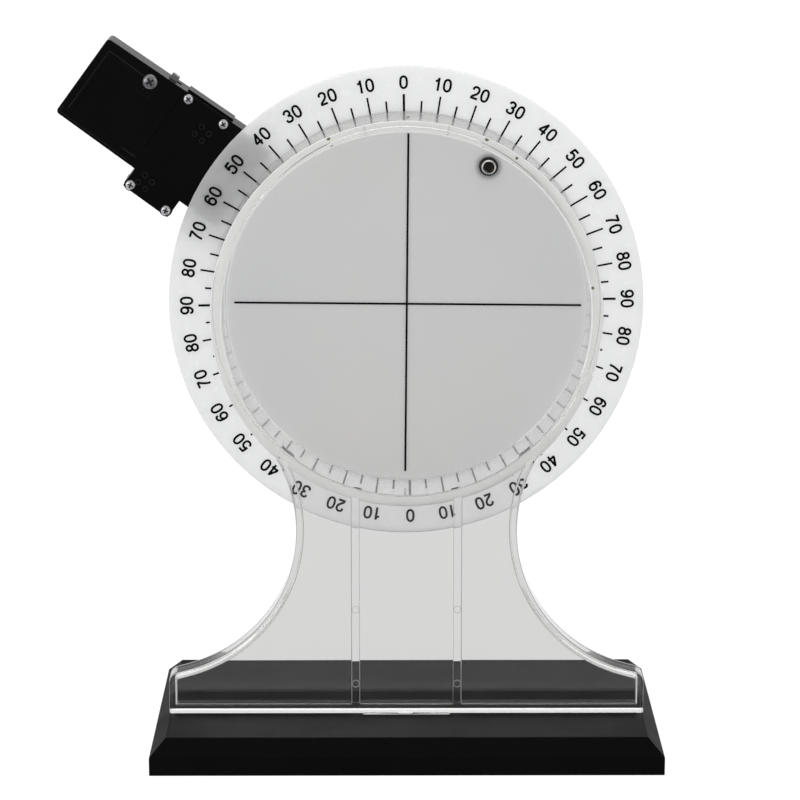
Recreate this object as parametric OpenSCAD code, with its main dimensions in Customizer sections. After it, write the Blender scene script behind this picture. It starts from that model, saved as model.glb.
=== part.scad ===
// Optical disc demonstrator on a clear leg.
// Origin: middle of the base's underside. +Z is up and the dial faces -Y.
// The swinging parts are drawn with their radius straight up, as (v, a) in the XZ plane:
// a is the distance from the dial's centre and v the distance sideways. The swing then
// turns them all about the dial's axis to the place where they rest.

/* [Base] */
// Width of the plinth
base_w = 256; // [220:1:320]
// Depth of the plinth
base_d = 143; // [120:1:180]
// Height of the top of the plinth above the table
base_h = 17.5; // [15:0.5:22]
// Height of the upright edge of the plinth
base_edge_h = 8.9; // [5:0.1:10]
// Run of the chamfer round the top of the plinth
base_bevel = 8; // [4:0.5:12]
// Wall of the hollow plinth
base_wall = 3; // [2:0.5:4]
// Thickness of the cover that closes the plinth
cover_t = 2; // [1.5:0.5:3]
// Thickness of the non-slip mat under the cover
mat_t = 0.6; // [0.4:0.1:2]

/* [Drum and dial] */
// Height of the dial's centre above the table
dial_z = 223.4; // [200:0.1:260]
// Diameter of the dial
dial_d = 240; // [220:1:300]
// Thickness of the dial
dial_t = 3; // [2:0.5:4]
// Outer diameter of the clear drum in front of the dial
drum_d = 194.6; // [170:0.2:210]
// Wall of the drum
drum_wall = 6; // [4:0.5:8]
// Depth of the drum
drum_depth = 36; // [28:1:45]
// Gap round the screen inside the drum
screen_gap = 0.8; // [0.3:0.1:2]
// Thickness of the milky screen
screen_t = 3; // [2:0.5:4]
// Distance of the drum's front from the middle of the base
front_y = -27; // [-35:1:-20]

/* [Leg] */
// Width of the leg at its waist
neck_w = 111; // [95:1:130]
// Drop of the waist below the underside of the drum
waist_gap = 12.1; // [8:0.1:25]
// Radius of the leg's hollow sides
side_r = 76; // [66:1:90]
// Width of the foot
foot_w = 241; // [210:1:280]
// Horizontal run of the straight slope at each end of the foot
foot_flat = 8.7; // [6:0.1:12]
// Radius of the foot's upper corners
foot_round = 5; // [2:0.5:8]
// Depth of the leg's rim
leg_depth = 12.3; // [10:0.1:16]
// Thickness of the leg's front plate
leg_plate = 3; // [2:0.5:4]
// Thickness of the leg's side rim
leg_rim = 4.6; // [3:0.1:6]
// Thickness of the leg's bottom wall
leg_floor = 3; // [2:0.5:5]
// Width of the two upright ribs
rib_w = 4.7; // [3:0.1:6]
// Distance between the ribs
rib_pitch = 51.6; // [40:0.2:60]
// How far the ribs stay short of the rim
rib_short = 3.6; // [1:0.1:5]
// Width of the tongue that plugs into the plinth
tongue_w = 44; // [30:1:50]
// Height of the tongue
tongue_h = 6; // [4:0.5:7]

/* [Tank] */
// Depth of the water tank behind the dial
tank_depth = 26; // [22:1:32]
// Wall of the tank
tank_wall = 4; // [3:0.5:6]
// Front wall of the tank
tank_front = 2.5; // [2:0.5:4]
// Thickness of the rear window
window_t = 3; // [2:0.5:5]
// Distance of the filler plug from the inner wall of the tank
plug_gap = 12.1; // [8:0.1:20]
// Angle of the filler plug from the top of the dial
plug_angle = 30.4; // [20:0.1:45]
// Diameter of the filler plug's shank
plug_d = 4.9; // [4:0.1:6]
// Diameter of the filler plug's head
plug_head_d = 9; // [8:0.1:10]

/* [Swing] */
// Angle from the top of the dial at which the laser rests, to the left
rest_angle = 53.5; // [0:0.1:90]
// Diameter of the hub's journal
journal_d = 16; // [12:1:20]
// Width of the swing arm
arm_w = 26; // [20:1:30]
// Thickness of the swing arm
arm_t = 5; // [4:0.5:7]
// Gap between the laser case and the back of the dial
rim_gap = 1.2; // [0.8:0.1:3]
// Diameter of the clamp knob
knob_d = 30; // [24:1:36]

/* [Laser case] */
// Gap between the tank and the case's nose
nose_gap = 1.9; // [1.5:0.1:7]
// Length of the case
case_len = 99.2; // [98:0.1:110]
// Depth of the case
case_depth = 20.5; // [18:0.5:26]
// Height of the case's upper side above its axis, at the nose
case_top_near = 22.3; // [20:0.1:26]
// Height of the case's upper side above its axis, at the far end
case_top_far = 19; // [18:0.1:24]
// Depth of the case's lower side below its axis
case_low = 26.5; // [26.5:0.1:32]
// Wall of the case
case_wall = 2; // [1.5:0.1:2.5]
// Radius of the case's corners
case_round = 2; // [0.5:0.1:3]
// Height of the screw lobe under the case
lobe_h = 10.5; // [9:0.1:13]
// Width of the screw lobe
lobe_w = 27.6; // [24:0.2:32]
// Diameter of the laser module
module_d = 12; // [9:0.5:12]
// Length of the laser module
module_len = 30; // [20:1:32]

/* [Fits] */
// Radial clearance of a shaft that turns in its hole
running = 0.05; // [0.02:0.01:0.1]
// Clearance of a part that is dropped into its place
loose = 0.2; // [0.1:0.05:0.4]
// Thickness of the cement between the leg and the drum
cement_t = 0.05; // [0.02:0.01:0.2]

/* [Hidden] */
$fn = 96;
eps = 0.01;

// Stack along Y
drum_r = drum_d / 2;
bore_r = drum_r - drum_wall;
dial_y = front_y + drum_depth;
screen_r = bore_r - screen_gap;
screen_y = dial_y - screen_t;
tank_y = dial_y + dial_t;
window_y = tank_y + tank_depth;
hub_y = window_y + window_t;
hub_flange_d = 50;
hub_flange_t = 4;
hub_washer_t = 1;
hub_washer_d = 34;
eye_d = 38;
eye_t = arm_t + 1.8;
arm_y = hub_y + hub_flange_t + hub_washer_t;
eye_back = arm_y + eye_t;
journal_back = eye_back - loose;
stud_d = 6;
stud_reach = 9;
clamp_washer_d = 26;
clamp_washer_t = 1.5;
knob_y = eye_back + clamp_washer_t + 2 * loose;
knob_t = 14;

// Base
tongue_y = front_y + 1;
tongue_d = leg_depth - 2;
pocket_floor = 2.5;
leg_screw_x = [-14, 14];
leg_screw_d = 3;
leg_screw_y = tongue_y + tongue_d / 2;
boss_d = 9;
boss_x = base_w / 2 - 22;
boss_y = base_d / 2 - 22;
cover_z = mat_t;
cover_gap = 0.3;
cover_screw_d = 3;
cover_screw_head = 6;
cover_screw_sink = 1.4;

// Leg outline, seen from the front with the dial's centre at (0, 0)
waist_drop = drum_r + waist_gap;
leg_bottom = base_h - dial_z;
side_x = neck_w / 2 + side_r;
slope_x = foot_w / 2 - foot_flat;
slope_angle = acos((side_x - slope_x) / side_r);

// Plug
plug_r = drum_r - tank_wall - plug_gap;
plug_x = plug_r * sin(plug_angle);
plug_z = dial_z + plug_r * cos(plug_angle);
plug_washer_t = 1;
plug_washer_d = plug_head_d + 1.6;
plug_head_h = 2.7;
plug_boss_d = 12;
plug_boss_t = 5;
plug_len = plug_washer_t + screen_t + dial_t + tank_front + plug_boss_t;

// Laser case, in (v, a)
case_near = drum_r + nose_gap;
case_y = tank_y + rim_gap;
case_back = case_y + case_depth;
lid_t = 2;
case_far = case_near + case_len;
axis_y = case_y + case_depth / 2;
lid_split = case_near + 52.9;
lobe_a = case_near + 23.1;
nose_hole_d = 8;
bay_end = case_near + 49.4;
cell_r = 5.2;
cell_len = 44.5;
cell_pitch = 10.7;
cell_v = [for (i = [0:2]) -case_low + case_wall + 0.4 + cell_r + i * cell_pitch];
contact_t = 0.5;
far_wall = case_far - case_wall;
cell_a = far_wall - contact_t - 0.1 - cell_len;
contact_w = 31;
partition_t = 2;
side_wall_t = 1.5;
partition_v = cell_v[2] + cell_r + 0.4;
screw_boss_d = 6.6;
case_screw_d = 2.2;
case_screw_at = [
    [case_top_near - 4.4, case_near + 49.4],
    [case_top_near - 4.2, case_near + 28],
    [-case_low - lobe_h + 2.4, lobe_a + lobe_w - 3],
    [-case_low - lobe_h + 2.4, lobe_a + 2.8]
];
case_screw_head = 5;
cell_screw_at = [case_top_far - 5.3, case_near + 69.9];
cell_screw_head = 7.3;
post_d = 9;
post_at = [for (v = [-9, 9], a = [13, 44.5]) [v, case_near + a]];
arm_screw_d = 3;
arm_screw_head = 5.6;
arm_screw_sink = 3;
arm_end = case_near + 52;
module_a = case_near + 7;
holder_w = module_d + 6;
holder_a = case_near + 12;
holder_len = 18;
lens_d = 6;
lens_t = 2;
window_d = 10;
exit_t = 1;
board_t = 1.6;
board_y = case_back - case_wall - 2.5 - board_t;
board_v = [-23.6, -12.4];
board_a = [case_near + 6, case_near + 45];
switch_a = case_near + 59.8;
switch_len = 10;
switch_w = 7;
switch_travel = 2.5;
nub_len = 4.2;
nub_w = 5;
nub_h = 2.8;
wire_d = 1.2;
wire_v = -0.5;
solder_t = 0.5;

// A flat outline in the XZ plane, from y to y + depth
module slab(y, depth) {
    translate([0, y + depth, 0]) rotate([90, 0, 0]) linear_extrude(depth) children();
}

// A round bar along Y, from y to y + len
module bar(y, len, d, x = 0, z = 0) {
    translate([x, y + len, z]) rotate([90, 0, 0]) cylinder(h = len, d = d);
}

// Moves the swinging parts from straight up to their rest place
module swing() {
    translate([0, 0, dial_z]) rotate([0, -rest_angle, 0]) children();
}

// A recessed cross in a screw head that faces -Y when turned is 0
module cross_cut(size, depth) {
    for (turn = [0, 90]) rotate([0, turn, 0])
        translate([-size / 2, -eps, -size / 10]) cube([size, depth + eps, size / 5]);
}

// A round-headed cross screw with its head's underside at y = 0 and its shank along +Y
module cross_screw(shank_d, len, head_d, head_h) {
    difference() {
        union() {
            bar(0, len, shank_d);
            intersection() {
                bar(-head_h, head_h, head_d);
                translate([0, head_d * 0.55 - head_h, 0]) sphere(r = head_d * 0.55);
            }
        }
        translate([0, -head_h, 0]) cross_cut(head_d * 0.55, head_h * 0.6);
    }
}

// A self-tapping screw that stands upright, head down at z = 0
module upright_screw(shank_d, len, head_d, head_h) {
    difference() {
        union() {
            cylinder(h = len, d = shank_d);
            translate([0, 0, -head_h]) cylinder(h = head_h, d1 = head_d - 1.2, d2 = head_d);
        }
        for (turn = [0, 90]) rotate([0, 0, turn])
            translate([-head_d * 0.28, -head_d * 0.055, -head_h - eps])
                cube([head_d * 0.56, head_d * 0.11, head_h * 0.6]);
    }
}

// Plan of the plinth, drawn in by inset on every side
module plinth_block(inset, z, h) {
    translate([-base_w / 2 + inset, -base_d / 2 + inset, z])
        cube([base_w - 2 * inset, base_d - 2 * inset, h]);
}

// The solid with a chamfered upper edge, made smaller by inset
module plinth_body(inset) {
    w = base_w / 2 - inset;
    d = base_d / 2 - inset;
    top = base_h - inset;
    shoulder = mat_t + base_edge_h;
    low = mat_t;
    intersection() {
        slab(-d, 2 * d) polygon([
            [-w, low], [w, low], [w, shoulder], [w - base_bevel, top], [-w + base_bevel, top], [-w, shoulder]
        ]);
        translate([-w, 0, 0]) rotate([90, 0, 90]) linear_extrude(2 * w) polygon([
            [-d, low], [d, low], [d, shoulder], [d - base_bevel, top], [-d + base_bevel, top], [-d, shoulder]
        ]);
    }
}

module boss_places() {
    for (sx = [-1, 1], sy = [-1, 1]) translate([sx * boss_x, sy * boss_y, 0]) children();
}

module base_plinth() {
    color("#17181a")
    difference() {
        union() {
            difference() {
                plinth_body(0);
                intersection() {
                    plinth_body(base_wall);
                    translate([-base_w / 2, -base_d / 2, 0]) cube([base_w, base_d, base_h - base_wall]);
                }
                plinth_block(base_wall, mat_t - eps, base_edge_h - 1);
            }
            // Screw bosses and the pocket that takes the leg's tongue
            boss_places() translate([0, 0, cover_z + cover_t])
                cylinder(h = base_h - base_wall - cover_z - cover_t + eps, d = boss_d);
            translate([-tongue_w / 2 - base_wall, tongue_y - base_wall, base_h - tongue_h - pocket_floor - loose])
                cube([tongue_w + 2 * base_wall, tongue_d + 2 * base_wall, tongue_h + pocket_floor + loose - 0.5]);
        }
        boss_places() cylinder(h = base_h - base_wall - 1, d = cover_screw_d - 0.4);
        translate([-tongue_w / 2 - loose, tongue_y - loose, base_h - tongue_h - loose])
            cube([tongue_w + 2 * loose, tongue_d + 2 * loose, tongue_h + 1]);
        for (x = leg_screw_x) translate([x, leg_screw_y, 0]) cylinder(h = base_h, d = leg_screw_d + 2 * loose);
    }
}

module base_cover() {
    color("#202123")
    difference() {
        plinth_block(base_wall + cover_gap, cover_z, cover_t);
        boss_places() cylinder(h = 20, d = cover_screw_d + 2 * loose);
        boss_places() translate([0, 0, cover_z - 1])
            cylinder(h = 1 + cover_screw_sink, d = cover_screw_head + 4 * loose);
    }
}

module base_cover_screws() {
    color("#c9cacc")
    boss_places() translate([0, 0, cover_z + cover_screw_sink])
        upright_screw(cover_screw_d - 0.4, 8, cover_screw_head, cover_screw_sink - 0.1);
}

module base_mat() {
    color("#101010") plinth_block(base_wall + 1, 0, mat_t);
}

// Outline of the leg, its sides drawn in by inset and its floor raised
module leg_outline(inset, floor_up) {
    r = side_r + inset;
    edge_x = foot_w / 2 - inset;
    arc_end = [side_x - r * cos(slope_angle), -waist_drop - r * sin(slope_angle)];
    corner_z = arc_end[1] - (edge_x - arc_end[0]) / tan(slope_angle);
    corner_r = max(foot_round - inset, 0.8);
    fillet = [edge_x - corner_r, corner_z - corner_r / tan((180 - slope_angle) / 2)];
    floor_z = leg_bottom + floor_up;
    difference() {
        union() {
            for (s = [-1, 1]) scale([s, 1]) {
                polygon([
                    [0, floor_z], [edge_x, floor_z], [edge_x, fillet[1]],
                    fillet + corner_r * [cos(slope_angle), sin(slope_angle)],
                    arc_end, [side_x, -waist_drop], [0, 0]
                ]);
                translate(fillet) circle(r = corner_r);
            }
        }
        for (s = [-1, 1]) translate([s * side_x, -waist_drop]) circle(r = r, $fn = 180);
        circle(r = drum_r + cement_t, $fn = 180);
    }
}

module leg_shell() {
    color("#dfe6ea", 0.35)
    difference() {
        translate([0, 0, dial_z]) {
            slab(front_y, leg_plate) leg_outline(0, 0);
            slab(front_y, leg_depth) difference() {
                leg_outline(0, 0);
                leg_outline(leg_rim, leg_floor);
            }
            slab(front_y, leg_depth - rib_short) intersection() {
                leg_outline(0, 0);
                for (s = [-1, 1]) translate([s * rib_pitch / 2 - rib_w / 2, leg_bottom]) square([rib_w, dial_z]);
            }
            translate([-tongue_w / 2, tongue_y, leg_bottom - tongue_h]) cube([tongue_w, tongue_d, tongue_h + 1]);
            translate([-tongue_w / 2, front_y - 1.2, leg_bottom]) cube([tongue_w, 2, 1]);
        }
        for (x = leg_screw_x) translate([x, leg_screw_y, base_h - tongue_h - eps])
            cylinder(h = tongue_h + leg_floor - 1, d = leg_screw_d - 0.4);
    }
}

module leg_screws() {
    color("#c9cacc")
    for (x = leg_screw_x)
        translate([x, leg_screw_y, base_h - tongue_h - pocket_floor - loose])
            upright_screw(leg_screw_d - 0.4, pocket_floor + loose + tongue_h - 1, 5.6, 1.8);
}

// Sector of the drum, opening upwards
module sector(half_angle, reach) {
    polygon([[0, 0], [-reach * tan(half_angle), reach], [reach * tan(half_angle), reach]]);
}

module drum_ring() {
    notch_angle = 12.4;
    notch_t = 0.6;
    notch_depth = 9;
    color("#e6ebee", 0.35)
    translate([0, 0, dial_z]) difference() {
        slab(front_y, drum_depth) difference() {
            circle(r = drum_r, $fn = 180);
            circle(r = bore_r, $fn = 180);
        }
        slab(front_y - eps, notch_depth) intersection() {
            circle(r = bore_r + notch_t, $fn = 180);
            sector(notch_angle, drum_r);
        }
    }
}

module screen_disc() {
    color("#c7c6c5")
    difference() {
        bar(screen_y, screen_t, 2 * screen_r, 0, dial_z);
        bar(screen_y - 1, screen_t + 2, plug_d + 2 * running, plug_x, plug_z);
    }
}

module dial_plate() {
    color("#f0efed")
    difference() {
        bar(dial_y, dial_t, dial_d, 0, dial_z);
        bar(dial_y - 1, dial_t + 2, plug_d + 2 * running, plug_x, plug_z);
    }
}

module tank_shell() {
    color("#e6ebee", 0.35)
    difference() {
        union() {
            difference() {
                bar(tank_y, tank_depth, drum_d, 0, dial_z);
                bar(tank_y + tank_front, tank_depth, drum_d - 2 * tank_wall, 0, dial_z);
            }
            bar(tank_y + 1, tank_front - 1 + plug_boss_t, plug_boss_d, plug_x, plug_z);
        }
        bar(tank_y - 1, tank_depth, plug_d + 2 * running, plug_x, plug_z);
    }
}

module rear_window() {
    color("#e6ebee", 0.35) bar(window_y, window_t, drum_d, 0, dial_z);
}

module filler_plug() {
    color("#8e8f91")
    translate([plug_x, screen_y - plug_washer_t, plug_z]) difference() {
        union() {
            bar(0, plug_len, plug_d);
            intersection() {
                bar(-plug_head_h, plug_head_h, plug_head_d);
                translate([0, plug_head_d * 0.6 - plug_head_h, 0]) sphere(r = plug_head_d * 0.6);
            }
        }
        translate([0, 1.6 - plug_head_h, 0]) rotate([90, 0, 0]) cylinder(h = 3, d = 3.5, $fn = 6);
    }
}

module filler_washer() {
    color("#111111")
    difference() {
        bar(screen_y - plug_washer_t, plug_washer_t, plug_washer_d, plug_x, plug_z);
        bar(screen_y - 3, 6, plug_d + 2 * running, plug_x, plug_z);
    }
}

module pivot_hub() {
    color("#17181a")
    difference() {
        union() {
            bar(hub_y, hub_flange_t, hub_flange_d, 0, dial_z);
            bar(hub_y, journal_back - hub_y, journal_d, 0, dial_z);
        }
        bar(journal_back - stud_reach, 20, stud_d, 0, dial_z);
    }
}

module hub_washer() {
    color("#e8e6e0")
    difference() {
        bar(arm_y - hub_washer_t, hub_washer_t, hub_washer_d, 0, dial_z);
        bar(arm_y - 3, 6, journal_d + 4 * running, 0, dial_z);
    }
}

module swing_arm() {
    color("#17181a")
    swing() difference() {
        union() {
            bar(arm_y, eye_t, eye_d);
            translate([-arm_w / 2, arm_y, 0]) cube([arm_w, arm_t, arm_end]);
            for (p = post_at) bar(case_back, arm_y - case_back + 1, post_d, p[0], p[1]);
            // Stiffening webs between the posts
            for (v = [-9, 9]) translate([v - 1, case_back, post_at[0][1]])
                cube([2, arm_y - case_back + 1, post_at[1][1] - post_at[0][1]]);
        }
        bar(arm_y - 1, eye_t + 2, journal_d + 2 * running);
        for (p = post_at) {
            bar(case_back - 1, 40, arm_screw_d + 2 * loose, p[0], p[1]);
            bar(arm_y + arm_t - arm_screw_sink, 10, arm_screw_head + 2 * loose, p[0], p[1]);
        }
    }
}

module clamp_washer() {
    color("#b9babc")
    difference() {
        bar(eye_back + loose, clamp_washer_t, clamp_washer_d, 0, dial_z);
        bar(eye_back - 1, 6, stud_d + 2 * loose, 0, dial_z);
    }
}

module clamp_knob() {
    lobes = 6;
    color("#141516")
    translate([0, 0, dial_z]) difference() {
        union() {
            bar(knob_y, 3, 18);
            bar(knob_y + 2.5, knob_t - 2.5, knob_d);
        }
        for (i = [0:lobes - 1]) {
            a = i * 360 / lobes;
            bar(knob_y + 2, knob_t, 9, (knob_d / 2 + 2) * sin(a), (knob_d / 2 + 2) * cos(a));
        }
        bar(knob_y - 1, knob_t - 3, stud_d - 2 * running);
    }
}

module knob_stud() {
    color("#b9babc")
    bar(journal_back - stud_reach + 0.5, knob_y + knob_t - 4 - journal_back + stud_reach - 0.5,
        stud_d - 2 * running, 0, dial_z);
}

module arm_screws() {
    seat_y = arm_y + arm_t - arm_screw_sink;
    color("#c9cacc")
    swing() for (p = post_at) translate([p[0], seat_y, p[1]]) rotate([180, 0, 0])
        cross_screw(arm_screw_d - 0.2, seat_y - case_back + case_wall + 2.6, arm_screw_head, 2);
}

// Outline of the case in (v, a), drawn in by inset
module case_outline(inset) {
    r = max(case_round - inset, 0.3);
    near = case_near + inset;
    far = case_far - inset;
    low = -case_low + inset;
    slope = (case_top_far - case_top_near) / case_len;
    top_near = case_top_near - inset + slope * inset;
    top_far = case_top_far - inset - slope * inset;
    polygon([
        [low, near], [top_near, near], [top_far, far - r], [top_far - r, far - r],
        [top_far - r, far], [low + r, far], [low + r, far - r], [low, far - r]
    ]);
    translate([top_far - r, far - r]) circle(r = r);
    translate([low + r, far - r]) circle(r = r);
}

module lobe_outline(inset) {
    r = max(case_round - 1 - inset, 0.3);
    low = -case_low - lobe_h + inset;
    near = lobe_a + inset;
    far = lobe_a + lobe_w - inset;
    polygon([
        [low + r, near], [-case_low + 4, near], [-case_low + 4, far], [low + r, far],
        [low + r, far - r], [low, far - r], [low, near + r], [low + r, near + r]
    ]);
    for (a = [near + r, far - r]) translate([low + r, a]) circle(r = r);
}

module case_plan(inset) {
    case_outline(inset);
    lobe_outline(inset);
}

// Everything below or above the line where the two covers meet
module half_plan(below) {
    reach = 2 * case_far;
    translate([-reach / 2, below ? lid_split - reach : lid_split + loose]) square([reach, reach]);
}

module case_rear() {
    floor_y = case_back - case_wall;
    shell_y = case_y + lid_t;
    color("#121315")
    swing() difference() {
        union() {
            slab(shell_y, case_depth - lid_t) difference() {
                case_plan(0);
                case_plan(case_wall);
            }
            slab(floor_y, case_wall) case_plan(0);
            // Partition between the laser bay and the batteries, and the batteries' side wall
            slab(shell_y, case_depth - lid_t - 1) {
                translate([-case_low + 1, bay_end]) square([partition_v + case_low - 1, partition_t]);
                translate([partition_v, bay_end]) square([side_wall_t, far_wall - bay_end + 1]);
            }
            for (p = case_screw_at) bar(shell_y, case_depth - lid_t - 1, screw_boss_d, p[0], p[1]);
            bar(shell_y, case_depth - lid_t - 1, screw_boss_d, cell_screw_at[0], cell_screw_at[1]);
            for (p = post_at) bar(floor_y - 3, 4, screw_boss_d - 0.4, p[0], p[1]);
            // Ledge along the upper side
            slab(shell_y + 1, case_depth - lid_t - 4) polygon([
                [case_top_near - 2.5, case_near + 25], [case_top_near + 0.4, case_near + 25],
                [case_top_near - 0.4, case_near + 52], [case_top_near - 2.5, case_near + 52]
            ]);
        }
        for (p = case_screw_at) bar(shell_y - 1, 10, case_screw_d, p[0], p[1]);
        bar(shell_y - 1, 10, case_screw_d, cell_screw_at[0], cell_screw_at[1]);
        for (p = post_at) bar(floor_y - 4, 20, arm_screw_d - 0.2, p[0], p[1]);
        // Beam hole and the seat of its window
        translate([0, axis_y, case_near - 1]) cylinder(h = case_wall + 2, d = nose_hole_d);
        translate([0, axis_y, case_near - 1]) cylinder(h = 1 + exit_t, d = window_d);
        // Slot for the switch and a gap for the wires
        translate([case_top_near - 8, axis_y - nub_w / 2 - 0.3, switch_a - (nub_len + switch_travel) / 2 - 0.4])
            cube([12, nub_w + 0.6, nub_len + switch_travel + 0.8]);
        translate([wire_v - 1.5, floor_y - 4, bay_end - 1]) cube([3, 4, partition_t + 2]);
    }
}

module arc_marks(v, a) {
    translate([v, case_y - eps, a]) for (turn = [0:3])
        rotate([0, turn * 90 + 30, 0]) translate([-1.6, 0, 3.4]) {
            cube([3.2, 0.3, 0.5]);
            translate([0, 0, 1]) cube([3.2, 0.3, 0.4]);
        }
}

module case_cover() {
    color("#121315")
    swing() difference() {
        slab(case_y, lid_t) intersection() {
            case_plan(0);
            half_plan(true);
        }
        for (p = case_screw_at) {
            bar(case_y - 1, 5, case_screw_d + 2 * loose, p[0], p[1]);
            bar(case_y - 1, 2, case_screw_head + loose, p[0], p[1]);
        }
        arc_marks(7.8, case_near + 33.1);
        arc_marks(-29, case_near + 41.9);
    }
}

module case_screws() {
    color("#d4d5d6")
    swing() for (p = case_screw_at) translate([p[0], case_y + 1, p[1]])
        cross_screw(case_screw_d - 0.1, 9, case_screw_head, 1.9);
}

module battery_cover() {
    panel = [-19.5, case_near + 58];
    panel_size = [21.5, 35];
    color("#121315")
    swing() difference() {
        slab(case_y, lid_t) intersection() {
            case_plan(0);
            half_plan(false);
        }
        slab(case_y - eps, 0.4) translate(panel) square(panel_size);
        slab(case_y - eps, 0.3) {
            translate([-23, case_near + 54]) square([0.5, 8]);
            translate([4, case_near + 65]) square([1.8, 0.6]);
            translate([4, case_near + 71]) square([1.8, 0.6]);
        }
        bar(case_y - 1, 5, case_screw_d + 2 * loose, cell_screw_at[0], cell_screw_at[1]);
        bar(case_y - 1, 2, cell_screw_head + 0.3, cell_screw_at[0], cell_screw_at[1]);
    }
}

module battery_cover_screw() {
    color("#9fa1a3")
    swing() translate([cell_screw_at[0], case_y + 1, cell_screw_at[1]])
        cross_screw(case_screw_d - 0.1, 9, cell_screw_head, 2.4);
}

module batteries() {
    color("#3c5a78")
    swing() for (i = [0:2]) {
        flip = i % 2;
        translate([cell_v[i], axis_y, cell_a + 0.8 * flip]) cylinder(h = cell_len - 0.8, r = cell_r - 0.1);
        translate([cell_v[i], axis_y, flip == 1 ? cell_a : cell_a + 1]) cylinder(h = cell_len - 1, d = 3.8);
    }
}

module battery_contacts() {
    plate_y = case_y + lid_t + 1;
    color("#b9babc")
    swing() for (a = [cell_a - 0.1 - contact_t, far_wall - contact_t])
        translate([-case_low + case_wall + 0.4, plate_y, a]) cube([contact_w, case_depth - lid_t - case_wall - 2, contact_t]);
}

module laser_module() {
    color("#b08d4f")
    swing() translate([0, axis_y, module_a]) difference() {
        cylinder(h = module_len, d = module_d);
        translate([0, 0, -1]) cylinder(h = 1 + lens_t + 1, d = lens_d);
        translate([0, 0, -1]) cylinder(h = 8, d = 3);
    }
}

module laser_lens() {
    color("#9fc4d8", 0.5)
    swing() translate([0, axis_y, module_a + 1]) cylinder(h = lens_t, d = lens_d);
}

module module_holder() {
    floor_y = case_back - case_wall;
    color("#2a2b2d")
    swing() difference() {
        translate([-holder_w / 2, axis_y - module_d / 2 - 1, holder_a])
            cube([holder_w, floor_y - axis_y + module_d / 2 + 1, holder_len]);
        translate([0, axis_y, holder_a - 1]) cylinder(h = holder_len + 2, r = module_d / 2 + running);
        for (p = post_at) bar(floor_y - 3.2, 5, screw_boss_d, p[0], p[1]);
    }
}

module exit_window() {
    color("#c04040", 0.5)
    swing() translate([0, axis_y, case_near]) cylinder(h = exit_t, d = window_d - 2 * running);
}

module board_places() {
    for (a = [board_a[0] + 3.5, board_a[1] - 3.5]) translate([(board_v[0] + board_v[1]) / 2, 0, a]) children();
}

module circuit_board() {
    color("#2f6b3c")
    swing() difference() {
        union() {
            translate([board_v[0], board_y, board_a[0]])
                cube([board_v[1] - board_v[0], board_t, board_a[1] - board_a[0]]);
            translate([board_v[0] + 3, board_y - 2, board_a[0] + 12]) cube([5, 2, 6]);
            translate([board_v[0] + 3, board_y - 1.2, board_a[0] + 22]) cube([3.2, 1.2, 1.6]);
            translate([board_v[0] + 8, board_y - 1.2, board_a[0] + 24]) cube([1.6, 1.2, 3.2]);
        }
        board_places() bar(board_y - 1, board_t + 2, 2.4);
    }
}

module board_screws() {
    color("#c9cacc")
    swing() board_places() {
        translate([0, board_y, 0]) cross_screw(2, board_t + 1, 3.8, 1.4);
        difference() {
            bar(board_y + board_t, case_back - case_wall - board_y - board_t, 5);
            bar(board_y, 8, 2);
        }
    }
}

// A thin wire through the listed points, eight-sided, each run overlapping the next at the bend
module wire(points) {
    for (i = [0:len(points) - 2]) {
        run = points[i + 1] - points[i];
        reach = norm(run) + (i < len(points) - 2 ? wire_d / 2 : 0);
        translate(points[i]) rotate([0, acos(run[2] / norm(run)), atan2(run[1], run[0])])
            cylinder(h = reach, d = wire_d, $fn = 8);
    }
}

module lead_wires() {
    tail = module_a + module_len;
    floor_y = case_back - case_wall;
    solder_v = board_v[1] - 1.2;
    on_board = board_y - wire_d / 2 - solder_t;
    color("#a33a2c")
    swing() {
        wire([[-3, axis_y, tail], [-3, axis_y, tail + 5], [solder_v, on_board, tail - 9]]);
        wire([
            [wire_v, floor_y - 2, bay_end + partition_t], [wire_v, floor_y - 2, bay_end - 2],
            [wire_v, on_board - 1, bay_end - 3], [solder_v, on_board, bay_end - 9]
        ]);
    }
}

module switch_body() {
    top = case_top_near + (case_top_far - case_top_near) * (switch_a - case_near) / case_len - case_wall - 0.4;
    color("#5a5b5d")
    swing() difference() {
        translate([top - 5, axis_y - switch_w / 2, switch_a - switch_len / 2]) cube([5, switch_w, switch_len]);
        translate([top - 2, axis_y - nub_w / 2 - loose, switch_a - (nub_len + switch_travel) / 2 - 0.3])
            cube([3, nub_w + 2 * loose, nub_len + switch_travel + 0.6]);
    }
}

module switch_slider() {
    top = case_top_near + (case_top_far - case_top_near) * (switch_a - case_near) / case_len;
    color("#1b1c1e")
    swing() translate([top - case_wall - 2.2, axis_y - nub_w / 2, switch_a + switch_travel / 2 - nub_len / 2])
        cube([case_wall + 2.2 + nub_h, nub_w, nub_len]);
}

base_plinth();
base_cover();
base_cover_screws();
base_mat();
leg_shell();
leg_screws();
drum_ring();
screen_disc();
dial_plate();
tank_shell();
rear_window();
filler_plug();
filler_washer();
pivot_hub();
hub_washer();
swing_arm();
clamp_washer();
clamp_knob();
knob_stud();
arm_screws();
case_rear();
case_cover();
case_screws();
battery_cover();
battery_cover_screw();
batteries();
battery_contacts();
laser_module();
laser_lens();
module_holder();
exit_window();
circuit_board();
board_screws();
lead_wires();
switch_body();
switch_slider();
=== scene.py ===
import math

import bmesh
import bpy
from mathutils import Matrix, Vector


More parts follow.
